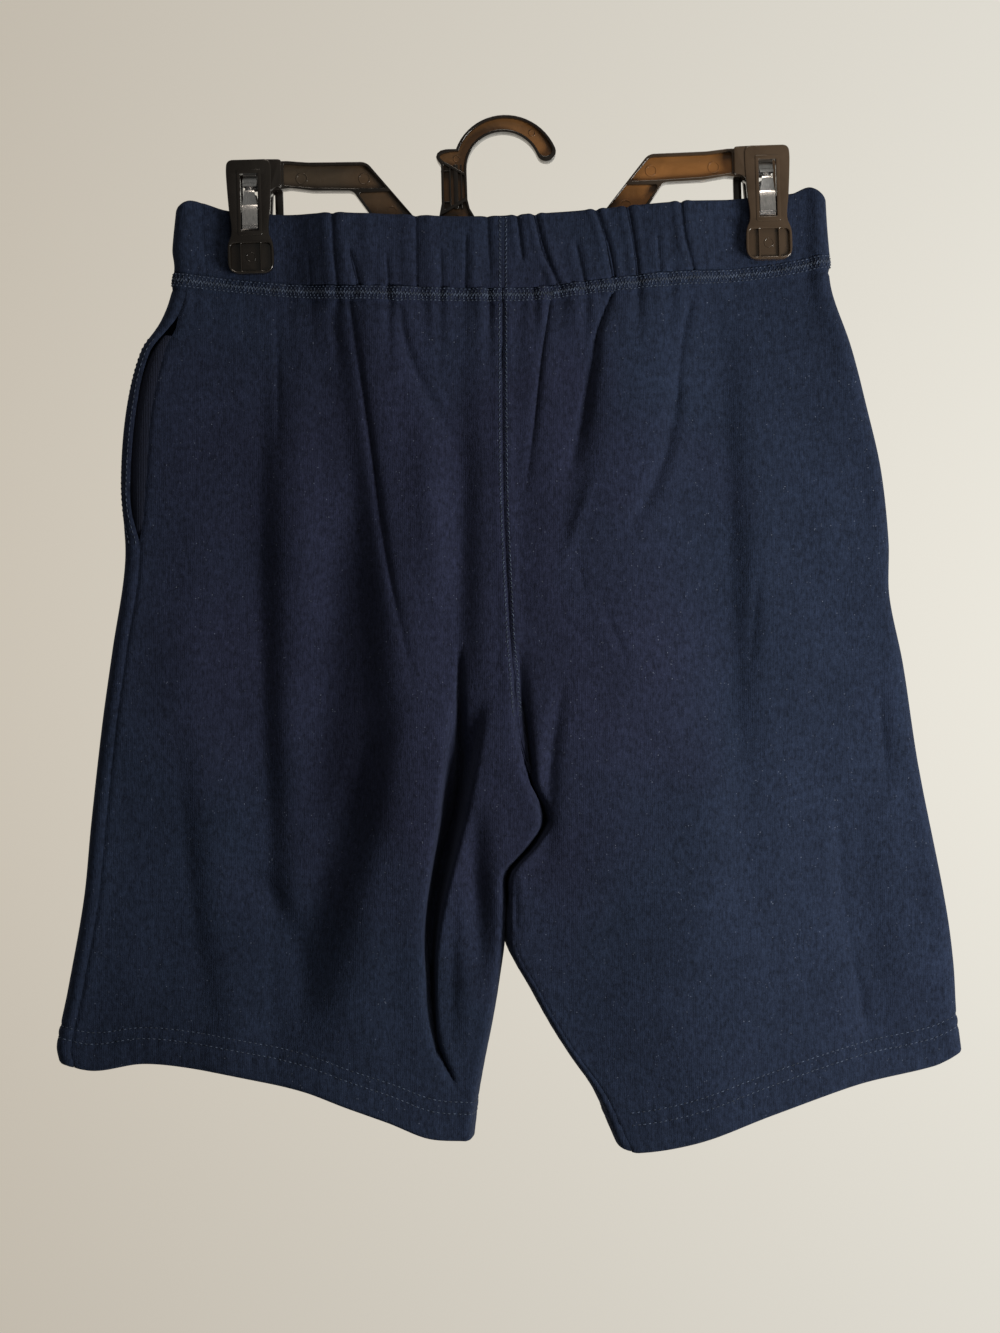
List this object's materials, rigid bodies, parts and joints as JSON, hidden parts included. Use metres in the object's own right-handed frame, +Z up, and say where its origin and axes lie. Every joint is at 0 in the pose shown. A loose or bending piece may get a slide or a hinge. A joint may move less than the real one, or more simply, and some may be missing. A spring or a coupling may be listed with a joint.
{
  "type": "lounge shorts on a clip hanger",
  "caption": "Knee-length knit lounge shorts with an elastic waist and side-seam pockets, hanging from a moulded hanger with spring clips.",
  "frame": {"origin": "inner crown of the hanger's hook, where it rests on what carries it", "axes": "+Z up, +X to the viewer's right when the shown back of the shorts is faced, -Y out of the shown back"},
  "size_m": [0.4891, 0.059, 0.559],
  "materials": {
    "waistband": "brushed knit over wide elastic, matt",
    "back_left_panel": "brushed knit, matt with a soft nap",
    "back_right_panel": "brushed knit, matt with a soft nap",
    "front_left_panel": "brushed knit, matt with a soft nap",
    "front_right_panel": "brushed knit, matt with a soft nap",
    "left_pocket_bag": "light knit, matt",
    "right_pocket_bag": "light knit, matt",
    "hanger_body": "moulded, glossy",
    "left_rear_jaw": "moulded, glossy",
    "right_rear_jaw": "moulded, glossy",
    "left_spring": "bright spring strip",
    "right_spring": "bright spring strip"
  },
  "bodies": {
    "root": {"waistband": "waistband", "back_left_panel": "back_left_panel", "back_right_panel": "back_right_panel", "front_left_panel": "front_left_panel", "front_right_panel": "front_right_panel", "left_pocket_bag": "left_pocket_bag", "right_pocket_bag": "right_pocket_bag", "hanger_body": "hanger_body", "left_rear_jaw": "left_rear_jaw", "right_rear_jaw": "right_rear_jaw", "left_spring": "left_spring", "right_spring": "right_spring"}
  },
  "joints": []
}
